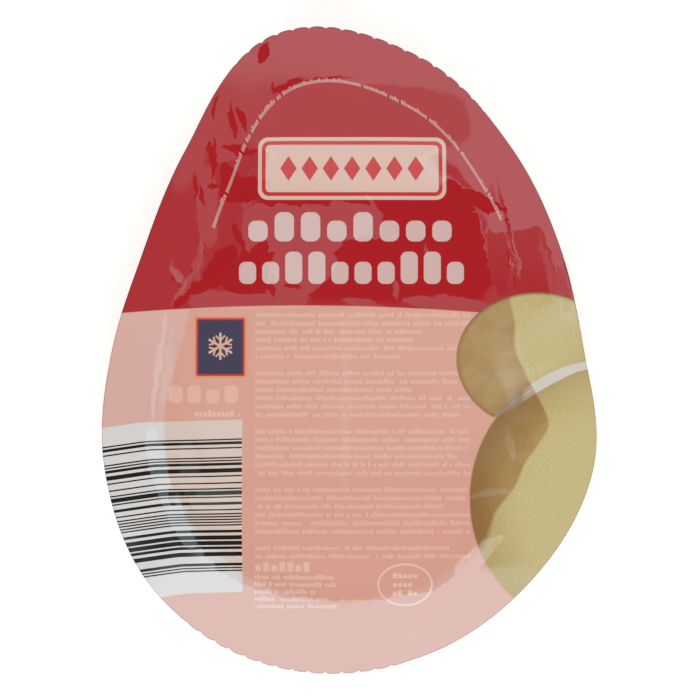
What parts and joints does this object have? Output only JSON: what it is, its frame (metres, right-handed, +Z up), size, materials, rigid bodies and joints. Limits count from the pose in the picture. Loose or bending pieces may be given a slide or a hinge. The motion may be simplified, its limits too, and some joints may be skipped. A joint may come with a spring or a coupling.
{
  "type": "sealed pack of smoked scamorza cheese",
  "caption": "Sealed egg-shaped film pack of smoked scamorza: a printed film with a scalloped rim is welded over a pear-shaped cheese in its clear drawn film.",
  "frame": {"origin": "on the surface that the pack lies on, under the middle of its outline", "axes": "+Z up through the printed face, +Y along the pack towards its narrow end, +X across it to the right as the print is read"},
  "size_m": [0.1172, 0.1538, 0.0464],
  "materials": {
    "printed_film": "thin glossy printed film, wine red over salmon pink",
    "smoked_cheese": "golden smoked rind, satin, under clear film",
    "clear_film": "clear glossy drawn film"
  },
  "bodies": {
    "root": {"printed_film": "printed_film", "wrapped_cheese": "smoked_cheese"}
  },
  "joints": []
}
